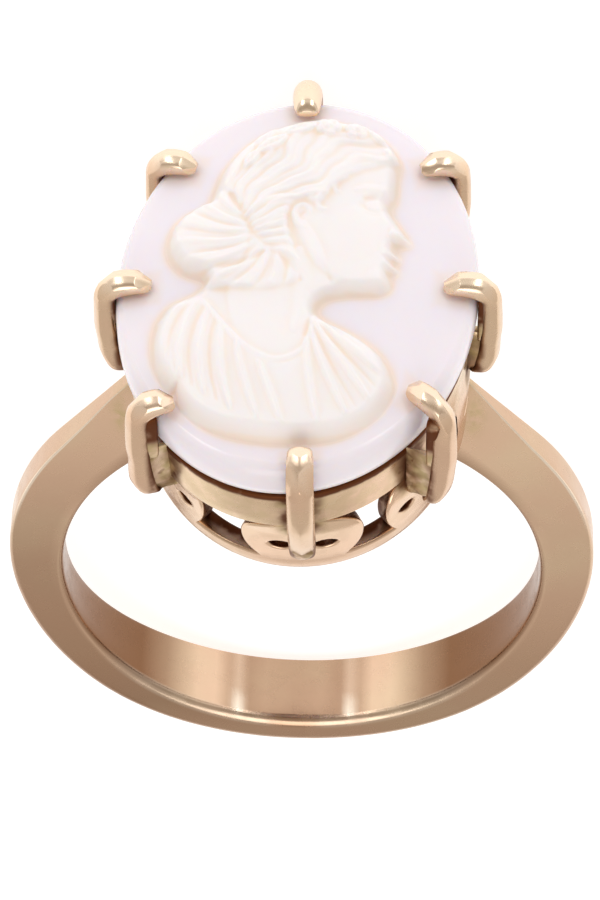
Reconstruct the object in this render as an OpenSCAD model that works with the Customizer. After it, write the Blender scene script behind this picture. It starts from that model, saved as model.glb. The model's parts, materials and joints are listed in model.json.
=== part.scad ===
// Lady's cameo ring: a carved shell oval held by eight claws in a pierced gold gallery,
// on a band that is broad at the palm and narrows to flat, tall shoulders.
// It is modelled upright, finger hole along Y and stone up, and then laid on its side.

/* [Band] */
// Inside diameter of the band
finger_d = 17.2; // [16.4:0.1:18]
// Thickness of the band at the palm
palm_t = 1.3; // [1.1:0.05:1.5]
// Thickness of the band at the sides of the finger
side_t = 1.9; // [1.7:0.05:2.1]
// Width of the band at the palm
palm_w = 3; // [2.6:0.1:3.4]
// Width of the band at the sides of the finger
side_w = 1.4; // [1.2:0.05:1.6]
// Width of the shoulders where they meet the gallery
shoulder_w = 0.7; // [0.6:0.05:0.9]
// Rounding of the band's outer edges at the palm
edge_r = 0.42; // [0.3:0.02:0.5]

/* [Gallery] */
// Height of the pierced gallery, from its lower rim to its upper edge
gallery_h = 5.15; // [5:0.05:5.4]
// Height of the plain strip round the top of the gallery
strip_h = 1.75; // [1.6:0.05:1.9]
// Height of the lower rim
rim_h = 0.85; // [0.7:0.05:1]
// Wall of the gallery
wall = 0.6; // [0.5:0.05:0.7]
// How far one lobe of the piercing reaches from the middle of its claw
lobe_reach = 1.9; // [1.8:0.05:2]
// Width of the eye that is cut through each lobe
eye_w = 0.8; // [0.6:0.05:0.9]
// Height of the eye
eye_h = 0.5; // [0.4:0.02:0.56]

/* [Claws] */
// Width of a claw
claw_w = 0.9; // [0.8:0.05:1]
// Thickness of a claw outside the stone's edge
claw_t = 0.84; // [0.75:0.01:0.9]

/* [Cameo] */
// Length of the oval
stone_l = 16; // [15.8:0.1:16.2]
// Width of the oval
stone_w = 12; // [11.8:0.1:12.2]
// Height of the oval's edge over its seat
edge_h = 1.8; // [1.7:0.05:1.9]
// Rise of the domed face over that edge
dome_h = 0.6; // [0.4:0.05:0.7]
// Height of the relief over the domed face
relief_h = 0.62; // [0.4:0.02:0.7]
// Air between the stone and the metal
seat_gap = 0.06; // [0.05:0.01:0.08]

/* [Hidden] */
gold = [0.79, 0.62, 0.5];
shell = [0.95, 0.91, 0.9];

bore_r = finger_d / 2;
// The band's outside is one circle, centred a little above the finger's axis.
band_r = (2 * bore_r + palm_t + side_t) / 2 + 0.3;
band_z = band_r - bore_r - palm_t;
shoulder_x = 6;
shoulder_z = 10.1;
shoulder_end_x = 5.05;
round_steps = 5;
// The head is soldered on a little to the right of the band's middle, and a little turned.
head_shift = 0.25;
head_turn = -1.5;

rim_z = bore_r + 0.15;
strip_z = rim_z + gallery_h - strip_h;
seat_z = rim_z + gallery_h + seat_gap;
stone_a = stone_w / 2;
stone_b = stone_l / 2;
around = 48;

// The pierced zone: its oval at mid height, the middle of a lobe from its claw, and the
// height of the eyes over the rim
pierced_a = 5.66;
pierced_b = 7.3;
lobe_c = 1.2;
eye_z = 1.05;

// Half the band's width, by height
WZ = 0; WH = 1;
widths = [
    [12, shoulder_w / 2 - 0.05],
    [10, shoulder_w / 2],
    [6.5, 0.57],
    [1.5, side_w / 2 - 0.02],
    [-1.5, side_w / 2 + 0.12],
    [-4.5, 0.37 * palm_w],
    [-7.2, 0.465 * palm_w],
    [-9, palm_w / 2],
    [-12, palm_w / 2]
];

// The gallery's wall in section, from the lower rim up the outside and down the inside:
// height, then the half axes of the oval there. The section turns a little below and a
// little above the gaps that are cut through it.
GZ = 0; GA = 1; GB = 2;
beside_gaps = 0.12;
gallery = [
    [rim_z, 5.45, 6.75],
    [rim_z + rim_h * 0.5, 5.6, 6.92],
    [rim_z + rim_h - beside_gaps, 5.6, 6.98],
    [strip_z + beside_gaps, 5.72, 7.58],
    [rim_z + gallery_h, 5.8, 7.66],
    [rim_z + gallery_h, 5.8 - wall, 7.66 - wall],
    [strip_z + beside_gaps, 5.72 - wall, 7.58 - wall],
    [rim_z + rim_h - beside_gaps, 5.6 - wall, 6.98 - wall],
    [rim_z + rim_h - beside_gaps, 4.9, 6.2],
    [rim_z, 4.85, 6.15]
];

// The eight claws, set by hand: the place on the stone's oval, the way the claw folds over
// it, how much longer its foot is, how far that foot is drawn in, and its reach over the stone
CT = 0; CAIM = 1; CDROP = 2; CPULL = 3; CREACH = 4;
claws = [
    [-2.4, 1.5, -0.4, 0.35, 1.08],
    [38.5, 16.5, 0, 0, 0.93],
    [92, 91.5, 0.95, 0.5, 0.95],
    [144, 168.5, 0, 0, 1],
    [185.1, 181.5, -0.35, 0.1, 1.06],
    [224.5, 193.5, -0.4, -0.25, 0.8],
    [273.4, 271.5, 0.75, 0.5, 0.55],
    [315.5, 344.5, -0.3, -0.1, 0.93]
];

// One claw from foot to tip. Each row is a cut across it: how far its inner and its outer
// side stand outside the stone's edge, their heights over the seat, half the width as a
// share of the claw's, and how much of the foot's extra length the cut takes.
IS = 0; IZ = 1; OS = 2; OZ = 3; HW = 4; FOOT = 5;
clear = seat_gap + 0.02;
claw_cuts = [
    [-0.7, -2.56, -0.05, -2.68, 0.5, 1],
    [-0.7, -2.36, 0.38, -2.44, 0.88, 1],
    [-0.62, -1.9, 0.62, -2, 1, 0.8],
    [-0.6, -0.8, 0.86, -0.8, 1, 0],
    [-0.6, -0.1, clear + claw_t, 0, 1, 0],
    [clear, 0.05, clear + claw_t, 0.3, 1, 0],
    [clear, 1.5, clear + claw_t - 0.04, 1.5, 1, 0],
    [clear - 0.1, edge_h + 0.1, clear + 0.52, edge_h + 0.3, 1, 0],
    [-0.45, edge_h + 0.24, -0.15, edge_h + 0.74, 0.96, 0],
    [-0.85, edge_h + 0.34, -0.75, edge_h + 0.8, 0.84, 0],
    [-1.15, edge_h + 0.4, -1.12, edge_h + 0.62, 0.45, 0]
];

// The edge of the stone in section: share of the half axes, and height over the seat
EK = 0; EZ = 1;
edge_cuts = [
    [0.91, 0],
    [0.985, 0.5],
    [1, 0.85],
    [1, edge_h - 0.5],
    [0.994, edge_h - 0.22],
    [0.978, edge_h - 0.04]
];
face_start = 0.955;

// The relief's main forms on the face of the stone: middle, half axes, turn, and height
// as a share of the full relief
FX = 0; FY = 1; FRX = 2; FRY = 3; FT = 4; FH = 5;
relief_forms = [
    [-0.9, -4.2, 3.7, 3.05, 0, 0.8],       // bust in its draped dress
    [-2.9, -2.4, 1.85, 1.45, 15, 0.74],    // shoulder behind
    [1.5, -4.6, 2.05, 1.75, -38, 0.7],     // drape in front
    [-0.5, -1.4, 1.5, 2.4, 8, 0.7],        // neck
    [0.7, 2.6, 2.5, 2.9, 0, 0.8],          // head
    [1.9, 0.5, 1.35, 1.6, -20, 0.8],       // jaw and chin
    [3.2, 1.7, 0.62, 0.5, 50, 0.66],       // nose
    [2.75, 0.45, 0.66, 0.5, 0, 0.66],      // lips
    [0.3, 4.5, 2.95, 2.1, -6, 1],          // waved hair over the crown
    [-1.1, 2.6, 1.7, 2.2, 20, 0.95],       // hair behind the ear
    [-3, 1.15, 1.4, 1.75, -10, 0.92],      // knot of hair at the nape
    [-1.4, 5.3, 1.05, 0.62, 35, 0.92],     // leaf
    [1.3, 6.1, 1.3, 0.62, -8, 0.92],       // flowers
    [3, 5.1, 0.95, 0.75, -55, 0.88]        // flower over the brow
];
face_rings = 34;
face_spokes = 108;

function oval(a, b, n = around) = [for (i = [0 : n - 1]) [a * cos(360 * i / n), b * sin(360 * i / n)]];
function ring(a, b, z, n = around) = [for (p = oval(a, b, n)) [p[0], p[1], z]];
function smooth(t) = t * t * (3 - 2 * t);
function clamp(t) = max(0, min(1, t));
function normal_turn(a, b, t) = atan2(sin(t) / b, cos(t) / a);

// A skin over rings of points, either closed on itself or with a cap at both ends
module skin(rings, caps) {
    n = len(rings[0]);
    m = len(rings);
    last = caps ? m - 2 : m - 1;
    walls = [for (j = [0 : last], i = [0 : n - 1])
        let (k = (i + 1) % n, up = (j + 1) % m)
        each [[j * n + i, up * n + k, j * n + k], [j * n + i, up * n + i, up * n + k]]];
    ends = caps ? [[for (i = [0 : n - 1]) i], [for (i = [n - 1 : -1 : 0]) (m - 1) * n + i]] : [];
    polyhedron([for (r = rings) each r], concat(walls, ends), convexity = 8);
}

// The band: a ring with rounded outer edges, drawn out into two straight shoulders
module band_blank() {
    reach = norm([shoulder_x, shoulder_z - band_z]);
    touch = atan2(shoulder_z - band_z, shoulder_x) - acos(band_r / reach);
    half = palm_w / 2;
    translate([0, 0, band_z]) rotate([90, 0, 0]) rotate_extrude($fn = 180) polygon(concat(
        [[bore_r - 1.8, -half]],
        [for (i = [0 : round_steps]) let (t = -90 + 90 * i / round_steps)
            [band_r - edge_r + edge_r * cos(t), -half + edge_r + edge_r * sin(t)]],
        [for (i = [0 : round_steps]) let (t = 90 * i / round_steps)
            [band_r - edge_r + edge_r * cos(t), half - edge_r + edge_r * sin(t)]],
        [[bore_r - 1.8, half]]
    ));
    for (side = [-1, 1]) translate([0, 1, 0]) rotate([90, 0, 0]) linear_extrude(2) polygon([
        [side * shoulder_end_x, 5],
        [side * 8, 3],
        [side * (band_r * cos(touch) - 0.01), band_z + band_r * sin(touch)],
        [side * shoulder_x, shoulder_z],
        [side * shoulder_end_x, shoulder_z - 0.2]
    ]);
}

// The band's outline seen along X, which gives it its width by height
module band_width() {
    corners = [for (p = widths) [p[WH], p[WZ]]];
    rotate([90, 0, 90]) linear_extrude(24, center = true)
        polygon(concat(corners, [for (i = [len(corners) - 1 : -1 : 0]) [-corners[i][0], corners[i][1]]]));
}

// Room for the gallery's hollow between the two shoulders
module between_shoulders() {
    translate([-shoulder_end_x, -palm_w, 5]) cube([2 * shoulder_end_x, 2 * palm_w, 8]);
}

module band() {
    difference() {
        intersection() {
            band_blank();
            band_width();
        }
        between_shoulders();
    }
}

// The wall of the gallery, all round
module gallery_wall() {
    skin([for (g = gallery) ring(g[GA], g[GB], g[GZ])], caps = false);
}

// Half the width that a pair of lobes takes, by height in the pierced zone from -1 to 1
function lobes_half(t) = lobe_c + (lobe_reach - lobe_c) * sqrt(max(0, 1 - t * t));

// A cutter through the wall, standing at angle t of the wall's oval
module through_wall(t, shift = 0) {
    translate([pierced_a * cos(t), pierced_b * sin(t), 0]) rotate([0, 0, normal_turn(pierced_a, pierced_b, t)])
        translate([-1.1, shift, 0]) rotate([90, 0, 90]) linear_extrude(2.2) children();
}

// The open gap between the lobes of two neighbouring claws
module gap_outline(bay_half) {
    low = rim_z + rim_h;
    mid = (low + strip_z) / 2;
    half = (strip_z - low) / 2;
    levels = [-1, -0.85, -0.55, 0, 0.55, 0.85, 1];
    polygon(concat(
        [for (t = levels) [bay_half - lobes_half(t), mid + half * t]],
        [for (i = [len(levels) - 1 : -1 : 0]) [-(bay_half - lobes_half(levels[i])), mid + half * levels[i]]]
    ));
}

// The pointed eye in a lobe
module eye_outline() {
    z = rim_z + rim_h + eye_z;
    polygon([for (i = [0 : 7]) let (t = 45 * i) [eye_w / 2 * cos(t), z + eye_h / 2 * sin(t) * abs(sin(t))]]);
}

module piercing() {
    for (i = [0 : len(claws) - 1]) {
        here = claws[i][CT];
        next = i + 1 < len(claws) ? claws[i + 1][CT] : 360 + claws[0][CT];
        span = norm([pierced_a * (cos(next) - cos(here)), pierced_b * (sin(next) - sin(here))]);
        through_wall((here + next) / 2) gap_outline(span / 2);
        for (side = [-1, 1]) through_wall(here, side * (claw_w / 2 + eye_w / 2 - 0.1)) eye_outline();
    }
}

module gallery_pierced() {
    difference() {
        gallery_wall();
        piercing();
    }
}

// A cut across a claw: a rounded bar with a soft ridge along its outer side
function over(s, reach) = s < 0 ? s * reach : s;
function claw_ring(c, claw) = let (
        folded = c[IZ] > edge_h,
        reach = folded ? claw[CREACH] : 1,
        in = over(c[IS], reach) - max(0, claw[CPULL]) * c[FOOT],
        out = over(c[OS], reach) - claw[CPULL] * c[FOOT],
        inner = [in, seat_z + c[IZ] - claw[CDROP] * c[FOOT]],
        outer = [out, seat_z + c[OZ] - claw[CDROP] * c[FOOT]],
        half = claw_w / 2 * c[HW]
    ) [for (q = [[1, 0], [0.93, 0.5], [0.72, 0.9], [0.3, 1], [0, 0.92],
                 [0, -0.92], [0.3, -1], [0.72, -0.9], [0.93, -0.5]])
        let (p = inner + (outer - inner) * q[0]) [p[0], half * q[1], p[1]]];

// The point of the oval's edge that a claw stands at. A claw that folds over the oval at
// a slant stands off by what its corner needs.
function claw_place(c) = let (
        slant = c[CAIM] - normal_turn(stone_a, stone_b, c[CT]),
        stand_off = claw_w / 2 * abs(tan(slant))
    ) [stone_a * cos(c[CT]) + stand_off * cos(c[CAIM]), stone_b * sin(c[CT]) + stand_off * sin(c[CAIM])];

module claw(c) {
    translate(concat(claw_place(c), 0)) rotate([0, 0, c[CAIM]])
        skin([for (cut = claw_cuts) claw_ring(cut, c)], caps = true);
}

// The head's place on the band
module on_band() {
    translate([head_shift, 0, 0]) rotate([0, 0, head_turn]) children();
}

module ring_upright() {
    difference() {
        union() {
            band();
            on_band() {
                gallery_pierced();
                for (c = claws) claw(c);
            }
        }
        rotate([90, 0, 0]) cylinder(h = 20, r = bore_r, center = true, $fn = 180);
    }
}

// Height of one form at a point: flat in the middle, falling smoothly to its outline
function form_height(p, f) = let (
        d = [p[0] - f[FX], p[1] - f[FY]],
        u = (d[0] * cos(f[FT]) + d[1] * sin(f[FT])) / f[FRX],
        v = (d[1] * cos(f[FT]) - d[0] * sin(f[FT])) / f[FRY],
        q = u * u + v * v
    ) f[FH] * smooth(clamp(1.7 * (1 - q)));

// The carving is cut back round the tips of the claws.
tip_reach = 0.8;
tip_room = 0.7;
tip_fade = 0.4;
claw_tips = [for (c = claws) claw_place(c) - tip_reach * c[CREACH] * [cos(c[CAIM]), sin(c[CAIM])]];
function beside_claws(p) = min([for (t = claw_tips) smooth(clamp((norm(p - t) - tip_room) / tip_fade))]);
function relief(p) = relief_h * beside_claws(p) * max([for (f = relief_forms) form_height(p, f)]);

module cameo_upright() {
    edge = [for (c = edge_cuts) ring(stone_a * c[EK], stone_b * c[EK], seat_z + c[EZ], face_spokes)];
    face = [for (k = [0 : face_rings - 1])
        let (s = face_start * (1 - k / face_rings))
        [for (p = oval(stone_a * s, stone_b * s, face_spokes))
            [p[0], p[1], seat_z + edge_h + dome_h * (1 - s * s) + relief(p)]]];
    skin(concat(edge, face), caps = true);
}

// How the ring lies on its side: on the outline of its rear claw and on the edge of the
// band's palm. The lean is the slope of the line that touches both.
rear = claws[2];
rear_points = [for (c = claw_cuts) let (p = claw_ring(c, rear)[0]) [norm(claw_place(rear)) + p[0], p[2]]];
palm_points = [for (i = [0 : round_steps]) let (t = 90 * i / round_steps) [
    palm_w / 2 - edge_r + edge_r * cos(t),
    band_z - band_r + edge_r - edge_r * sin(t)
]];
lean = max([for (p = rear_points) min([for (q = palm_points) atan((p[0] - q[0]) / (p[1] - q[1]))])]);
drop_z = max([for (p = rear_points) p[0] * cos(lean) - p[1] * sin(lean)]);
head_y = max([for (p = rear_points) p[0] * sin(lean) + p[1] * cos(lean)]);
palm_y = max([for (q = palm_points) q[0] * sin(lean) - q[1] * cos(lean)]);

module laid_down() {
    translate([0, (head_y - palm_y) / 2, drop_z]) rotate([0, 0, 180]) rotate([lean - 90, 0, 0]) children();
}

module ring_mount() {
    color(gold) laid_down() ring_upright();
}

module cameo() {
    color(shell) laid_down() on_band() cameo_upright();
}

ring_mount();
cameo();
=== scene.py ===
import json
import math
from collections import namedtuple

import bmesh
import bpy
import numpy as np
from mathutils import Matrix, Vector, noise


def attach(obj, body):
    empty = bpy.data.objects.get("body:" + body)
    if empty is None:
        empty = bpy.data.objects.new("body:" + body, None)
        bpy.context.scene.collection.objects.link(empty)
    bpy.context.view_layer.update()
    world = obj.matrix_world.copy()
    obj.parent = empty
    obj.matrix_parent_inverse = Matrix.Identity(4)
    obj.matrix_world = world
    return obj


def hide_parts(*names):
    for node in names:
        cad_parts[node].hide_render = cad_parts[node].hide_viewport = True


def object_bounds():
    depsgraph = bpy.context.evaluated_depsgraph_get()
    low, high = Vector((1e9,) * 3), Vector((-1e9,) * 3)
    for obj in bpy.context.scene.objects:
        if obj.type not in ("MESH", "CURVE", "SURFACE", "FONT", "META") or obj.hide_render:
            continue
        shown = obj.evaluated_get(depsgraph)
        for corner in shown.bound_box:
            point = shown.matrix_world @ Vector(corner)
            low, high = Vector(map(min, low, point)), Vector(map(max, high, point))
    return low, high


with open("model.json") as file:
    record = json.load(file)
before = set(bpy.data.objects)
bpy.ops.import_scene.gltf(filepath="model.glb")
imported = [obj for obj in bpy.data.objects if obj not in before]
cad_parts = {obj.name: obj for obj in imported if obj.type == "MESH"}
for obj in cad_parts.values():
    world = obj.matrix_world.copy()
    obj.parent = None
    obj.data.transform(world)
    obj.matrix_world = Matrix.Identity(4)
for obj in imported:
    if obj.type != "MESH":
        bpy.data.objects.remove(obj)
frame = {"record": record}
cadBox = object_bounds()

# Everything is drawn on the upright ring, in millimetres: X to the right, Y along the
# finger away from the viewer, Z up through the stone, from the middle of the finger hole.
hole = next(m for m in frame["record"]["mounts"] if m["name"] == "finger_hole")
acrossFinger = Vector((-1, 0, 0))
alongFinger = -Vector(hole["axis"]).normalized()
throughStone = acrossFinger.cross(alongFinger)
ringAxes = Matrix((acrossFinger, alongFinger, throughStone)).transposed().to_4x4()
toRow = Matrix.Translation(hole["pos_m"]) @ ringAxes @ Matrix.Scale(0.001, 4)
onBand = Matrix.Translation((0.25, 0, 0)) @ Matrix.Rotation(math.radians(-1.5), 4, "Z")


def smooth(t):
    t = np.clip(t, 0, 1)
    return t * t * (3 - 2 * t)


def readOff(rows, at):
    # Reads a table of two columns, with straight lines between its rows
    return float(np.interp(at, *zip(*rows)))


def curveThrough(points, steps):
    # A smooth line through rows of numbers, with some steps between each two
    rows = [np.array(p, float) for p in points]
    rows = [2 * rows[0] - rows[1]] + rows + [2 * rows[-1] - rows[-2]]
    made = []
    for a, b, c, d in zip(rows, rows[1:], rows[2:], rows[3:]):
        for k in range(steps):
            t = k / steps
            cubed = (3 * b - a - 3 * c + d) * t**3
            made.append(0.5 * (2 * b + (c - a) * t + (2 * a - 5 * b + 4 * c - d) * t**2 + cubed))
    return made + [rows[-2]]


def roundedSquare(count):
    # Corners of a square with soft corners, which reaches from -1 to 1 both ways
    turns = [2 * math.pi * k / count for k in range(count)]
    waves = [(math.cos(t), math.sin(t)) for t in turns]
    return [tuple(math.copysign(abs(w) ** 0.4, w) for w in pair) for pair in waves]


def loft(bm, sections):
    # Skins closed loops of points and caps the two ends
    loops = []
    for section in sections:
        corners = [bm.verts.new(p) for p in section]
        loops.append([bm.edges.new((corners[i - 1], corners[i])) for i in range(len(corners))])
    for a, b in zip(loops, loops[1:]):
        bmesh.ops.bridge_loops(bm, edges=a + b)
    for end in (loops[0], loops[-1]):
        bmesh.ops.contextual_create(bm, geom=end)


def slicePlane(bm, where, facing, clearOuter=False):
    everything = bm.verts[:] + bm.edges[:] + bm.faces[:]
    return bmesh.ops.bisect_plane(bm, geom=everything, dist=0.0001, plane_co=where, plane_no=facing,
                                  clear_outer=clearOuter)


def addLayers(bm, *names):
    return [bm.verts.layers.float.new(name) for name in names]


def makePiece(bm, name, material, node, place=None, sharpAngle=35):
    if place:
        bmesh.ops.transform(bm, matrix=place, verts=bm.verts)
    bmesh.ops.transform(bm, matrix=toRow, verts=bm.verts)
    bmesh.ops.recalc_face_normals(bm, faces=bm.faces)
    mesh = bpy.data.meshes.new(name)
    bm.to_mesh(mesh)
    bm.free()
    mesh.polygons.foreach_set("use_smooth", [True] * len(mesh.polygons))
    mesh.set_sharp_from_angle(angle=math.radians(sharpAngle))
    mesh.materials.append(material)
    piece = bpy.data.objects.new(name, mesh)
    bpy.context.scene.collection.objects.link(piece)
    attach(piece, "root")
    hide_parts(node)
    print(f"{name}: {sum(len(p.vertices) - 2 for p in mesh.polygons)} triangles")


class Value:
    # A socket that Python's own operators work on
    def __init__(self, shader, socket):
        self.shader, self.socket = shader, socket

    def maths(self, operation, other):
        return self.shader.node("Math", {"operation": operation}, {0: self, 1: other})

    def __add__(self, other):
        return self.maths("ADD", other)

    def __mul__(self, other):
        return self.maths("MULTIPLY", other)

    __radd__ = __add__
    __rmul__ = __mul__

    def between(self, low, high):
        # 0 under the low value, 1 over the high one, and soft from one to the other
        return self.shader.node("MapRange", {"interpolation_type": "SMOOTHSTEP"},
                                {"Value": self, "From Min": low, "From Max": high})


class Shader:
    def __init__(self, name, owner=None):
        self.material = owner or bpy.data.materials.new(name)
        self.material.use_nodes = True
        self.tree = self.material.node_tree
        self.tree.nodes.clear()

    def node(self, kind, settings=None, sockets=None, output=0):
        made = self.tree.nodes.new("ShaderNode" + kind)
        for key, value in (settings or {}).items():
            setattr(made, key, value)
        for key, value in (sockets or {}).items():
            if isinstance(value, Value):
                self.tree.links.new(value.socket, made.inputs[key])
            else:
                made.inputs[key].default_value = value
        return Value(self, made.outputs[output]) if made.outputs else None

    def mix(self, factor, a, b):
        colours = [(*c, 1) if isinstance(c, tuple) else c for c in (a, b)]
        return self.node("Mix", {"data_type": "RGBA"}, {0: factor, 6: colours[0], 7: colours[1]}, output=2)

    def place(self):
        return self.node("TexCoord", output="Object")

    def stretched(self, scale):
        return self.node("Mapping", None, {"Vector": self.place(), "Scale": scale})

    def cloud(self, scale, detail=3, roughness=0.5, where=None):
        where = where or self.place()
        sockets = {"Vector": where, "Scale": scale, "Detail": detail, "Roughness": roughness}
        return self.node("TexNoise", None, sockets)

    def mask(self, name):
        return self.node("Attribute", {"attribute_name": name}, output="Fac")

    def surface(self, **sockets):
        # The names of the sockets are written with _ for each space
        named = {key.replace("_", " "): value for key, value in sockets.items()}
        if isinstance(named["Base Color"], tuple):
            named["Base Color"] = (*named["Base Color"], 1)
        shader = self.node("BsdfPrincipled", None, named)
        self.node("OutputMaterial", None, {"Surface": shader})
        return self.material


# Gold: worn and satiny, rosier where it is thin, brown in its corners, partly tarnish that polish misses and
# partly painted shade, and with more painted shade and painted highlights over it
goldLook = {
    # the metal's two tones, and what lies over them: tarnish and painted shade, solder, painted shade and
    # painted highlights
    "rose": (0.84, 0.59, 0.415),
    "yellow": (0.85, 0.68, 0.46),
    "tarnishAndShade": (0.14, 0.045, 0.016),
    "solder": (0.56, 0.45, 0.22),
    "paintedShade": (0.195, 0.085, 0.035),
    "paintedHighlight": (1.0, 0.9, 0.75),
    "roughness": 0.2,
    "wear": 0.14,
}


def goldMaterial():
    s = Shader("roseGold")
    patches = s.cloud(210, 3).between(0.38, 0.68)
    grain = s.cloud(1300, 4, 0.6)
    dents = s.cloud(520, 2)
    pits = s.cloud(1700, 2).between(0.64, 0.7) * s.mask("solder")
    # tarnish and painted shade, with the pitted solder darker
    grimeAndShade = (s.mask("grimeAndShade") * (s.cloud(1500, 4).between(0.25, 0.6) * 0.6 + 0.4) + pits * 0.3).between(0, 1)
    solder = s.mask("solder") * s.cloud(1900, 4).between(0.3, 0.62)
    colour = s.mix(patches * 0.55, goldLook["rose"], goldLook["yellow"])
    # painted shade, then painted highlights
    colour = s.mix(s.mask("paintedShade"), colour, goldLook["paintedShade"])
    colour = s.mix(s.mask("paintedHighlight"), colour, goldLook["paintedHighlight"])
    colour = s.mix(solder, colour, goldLook["solder"])
    colour = s.mix(grimeAndShade, colour, goldLook["tarnishAndShade"])
    rough = grain.between(0.35, 0.75) * goldLook["wear"] + goldLook["roughness"]
    rough = rough + grimeAndShade * 0.25 + solder * 0.1
    height = grain * 0.25 + dents * 0.15 + solder * s.cloud(2600, 3) * 3
    bumps = s.node("Bump", None, {"Strength": 0.16, "Distance": 0.00001, "Height": height})
    return s.surface(Base_Color=colour, Metallic=1.0, Roughness=rough, Normal=bumps)


# The band. Angles are in degrees from the palm, and heights from the middle of the hole.
band = {
    "holeRadius": 8.6,
    "outerRadius": 10.5,
    "outerCentre": 0.6,
    # the outer outline runs straight to here, and past it to where the band ends
    "shoulder": (6.0, 10.1),
    "end": (5.4, 10.9),
    # height, half the width
    "widths": [(-12, 1.5), (-9, 1.5), (-7.2, 1.395), (-4.5, 1.11), (-1.5, 0.82), (1.5, 0.68), (6.5, 0.57),
               (10, 0.35), (12, 0.3)],
    # angle, radius of the front edges
    "innerRound": [(0, 0.4), (60, 0.34), (100, 0.22), (144, 0.1)],
    "outerRound": [(0, 0.44), (75, 0.34), (120, 0.14), (144, 0.07)],
    "backRound": 0.16,
    # height, how far the outer front edge of each shoulder leans back
    "leanLeft": [(7, 0), (8.4, 0.04), (9.5, 0.14), (10.6, 0.08)],
    "leanRight": [(6.6, 0), (7.4, 0.06), (8.6, 0.2), (9.6, 0.34), (10.6, 0.48)],
    # the angle from one cut to the next, the last two cuts, and how far the outer end of the
    # cuts at the shoulders runs ahead
    "step": 1,
    "lastCuts": (143.4, 144.03),
    "lead": 6.3,
    # angle, how much painted shade and how much painted highlight the inside gets; how far round both are
    # shifted, in degrees, and how far along the finger the painted highlight lies
    "paintedShade": [(0, 0.54), (7, 0.5), (11.6, 0.6), (14.1, 0.35), (16.6, 0.46), (20, 0.12), (25, 0.14),
                (34, 0.7), (42, 0.94), (100, 0.88), (144, 0.75)],
    "paintedHighlight": [(0, 0), (11.8, 0), (13.1, 0.6), (14.1, 1), (15.1, 0.6), (16.4, 0), (144, 0)],
    "paintedLightShift": 2.85,
    "highlightDepth": -0.95,
    # height, how much painted shade the front face gets
    "frontLeft": [(-9, 0.62), (-7.3, 0.78), (-4.7, 0.68), (0.4, 0.58), (3, 0.42), (6.5, 0.22), (9, 0.12)],
    "frontRight": [(-9, 0.6), (-7.3, 0.62), (-4.7, 0.55), (0.4, 0.3), (3, 0.24), (6.5, 0.1), (9, 0.05)],
    # painted shade on the outside, and painted highlights on the outer front ridge and the inner front edge
    "outsidePaintedShade": 0.32,
    "ridgeHighlight": 0.75,
    "innerEdgeHighlight": 0.25,
    # the solder stain on each shoulder: how far out, and how high
    "stain": (6.1, 8.7),
}


def halfWidth(z):
    return float(np.mean([readOff(band["widths"], z + d) for d in (-1, -0.5, 0, 0.5, 1)]))


def bandOutline(angle):
    # The outer outline on a ray at this angle from the palm, in degrees
    x, z = math.sin(math.radians(angle)), -math.cos(math.radians(angle))
    radius, centre = band["outerRadius"], band["outerCentre"]
    far = z * centre + math.sqrt((z * centre) ** 2 - centre**2 + radius**2)
    sx, sz = band["shoulder"]
    reach = math.hypot(sx, sz - centre)
    touch = math.atan2(sz - centre, sx) - math.acos(radius / reach)
    tx, tz = radius * math.cos(touch), centre + radius * math.sin(touch)
    if math.atan2(z, x) > math.atan2(tz, tx):
        far = (tx * (sz - tz) - tz * (sx - tx)) / (x * (sz - tz) - z * (sx - tx))
    return x * far, z * far


def bandSection(angle, side, last=False):
    # One cut across the band: rounded corners, with its width taken from the height
    turn = math.radians(angle)
    ix, iz = band["holeRadius"] * math.sin(turn), -band["holeRadius"] * math.cos(turn)
    lead = band["lead"] * smooth((angle - 95) / 48)
    ox, oz = band["end"] if last else bandOutline(angle + lead)
    length = math.hypot(ox - ix, oz - iz)
    innerHalf, outerHalf = halfWidth(iz), halfWidth(oz)
    innerRound = min(readOff(band["innerRound"], angle), innerHalf * 0.8)
    backRound = min(band["backRound"], innerRound)
    outerRound = min(readOff(band["outerRound"], angle), outerHalf * 0.85)
    lean = readOff(band["leanRight" if side > 0 else "leanLeft"], oz)
    # how far out and along the finger each corner's middle is, its radius, and where its arc starts
    corners = [
        (innerRound, -(innerHalf - innerRound), innerRound, 180),
        (length - outerRound, lean - (outerHalf - outerRound), outerRound, 270),
        (length - outerRound, outerHalf - outerRound, outerRound, 0),
        (backRound, innerHalf - backRound, backRound, 90),
    ]
    flat = []
    for i, (out, y, rounding, start) in enumerate(corners):
        arc = [math.radians(start + 15 * k) for k in range(7)]
        flat += [(out + rounding * math.cos(t), y + rounding * math.sin(t)) for t in arc]
        nextOut, nextY, nextRound, nextStart = corners[(i + 1) % 4]
        turn = math.radians(nextStart)
        target = np.array((nextOut + nextRound * math.cos(turn), nextY + nextRound * math.sin(turn)))
        flat += [tuple(np.array(flat[-1]) + (target - flat[-1]) * k / 5) for k in range(1, 5)]
    return [(side * (ix + (ox - ix) * out / length), y, iz + (oz - iz) * out / length) for out, y in flat]


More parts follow.
